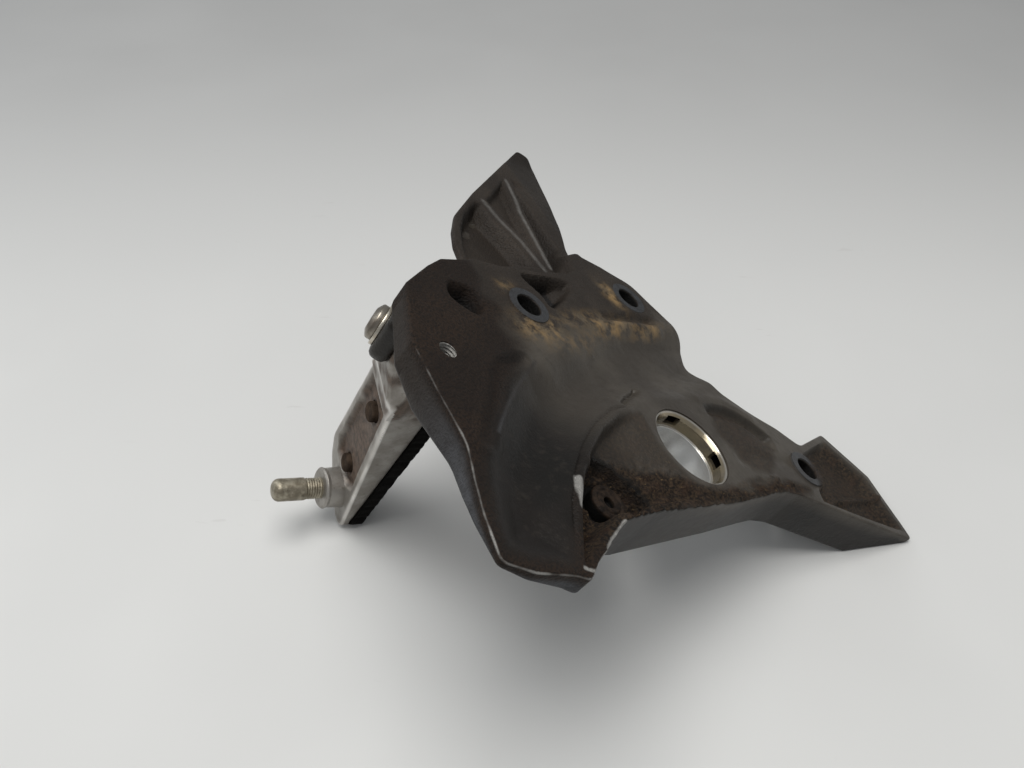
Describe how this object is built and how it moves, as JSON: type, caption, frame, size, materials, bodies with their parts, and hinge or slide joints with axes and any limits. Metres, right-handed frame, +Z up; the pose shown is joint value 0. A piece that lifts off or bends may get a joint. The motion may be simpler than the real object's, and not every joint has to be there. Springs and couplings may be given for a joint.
{
  "type": "motorcycle footrest hanger",
  "caption": "Cast alloy footrest hanger with a ribbed heel guard fin, frame bolt holes, a lever pivot bush and a sprung folding footrest with a rubber tread.",
  "frame": {"origin": "centre of the first frame bolt hole, at the face of its machined ring", "axes": "+Z is up with the part lying on a bench on the footrest's outer corner and the tail, as in the picture; +X runs to the right of the picture, +Y away from its camera"},
  "size_m": [0.2255, 0.2151, 0.1185],
  "materials": {
    "cast_alloy": "satin, grimy sand casting",
    "bush_steel": "polished by the lever, with a yellow film",
    "bare_alloy": "bare, brushed, grimy underneath",
    "tread_rubber": "matt black",
    "worn_steel": "scuffed, dull",
    "pin_steel": "zinc plated, dirty",
    "dull_steel": "dark, grimy"
  },
  "bodies": {
    "arm": {"hanger": "cast_alloy", "pivot_bush": "bush_steel", "stop_stud": "dull_steel", "hinge_pin": "pin_steel", "pin_washer": "pin_steel", "pin_clip": "dull_steel", "return_spring": "dull_steel"},
    "peg": {"footrest": "bare_alloy", "tread_rubber": "tread_rubber", "feeler": "worn_steel"}
  },
  "joints": [
    {"name": "footrest_fold", "type": "hinge", "parent": "arm", "child": "peg", "pos_m": [-0.02996, -0.01436, -0.00593], "axis": [0.8225, -0.2323, -0.5191], "range_deg": [0, 60], "stiffness_Nm_per_rad": 0.25, "springref_deg": -80.21}
  ]
}
